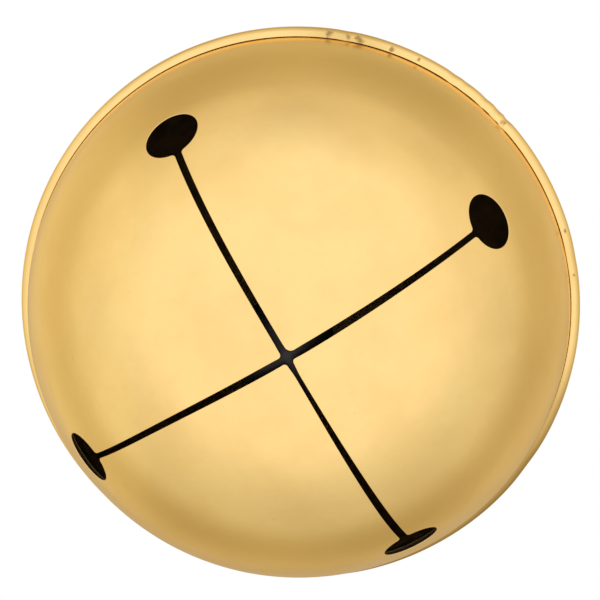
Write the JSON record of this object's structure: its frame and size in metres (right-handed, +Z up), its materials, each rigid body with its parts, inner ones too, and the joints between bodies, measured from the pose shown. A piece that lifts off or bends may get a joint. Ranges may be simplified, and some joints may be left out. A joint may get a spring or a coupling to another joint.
{
  "type": "jingle bell",
  "caption": "Hollow round jingle bell of pressed sheet-metal cups with crossed sound slots that end in round holes, a split-pin hanging eye and a loose clapper ball inside.",
  "frame": {"origin": "centre of the hanging eye, on the bell's own axis", "axes": "+Z up along the bell's axis, out of the crown; +Y along the eye's bore; the sound slots lie along X and Y"},
  "size_m": [0.05, 0.05, 0.0606],
  "materials": {
    "upper_gold": "bright satin plate, fine rubbing marks",
    "lower_gold": "bright satin plate, fine rubbing marks",
    "hanger_gold": "plated wire, slightly brighter on the bends",
    "ball_steel": "dark, dull tumbled steel"
  },
  "bodies": {
    "loop": {"hanger_loop": "hanger_gold"},
    "shell": {"upper_shell": "upper_gold", "lower_shell": "lower_gold"},
    "clapper": {"clapper_ball": "ball_steel"}
  },
  "joints": [
    {"name": "loop_swivel", "type": "hinge", "parent": "loop", "child": "shell", "pos_m": [0, 0, -0.0047], "axis": [0, 0, 1], "continuous": true},
    {"name": "clapper_roll", "type": "hinge", "parent": "shell", "child": "clapper", "pos_m": [0, 0, -0.03284], "axis": [1, 0, 0], "continuous": true}
  ]
}
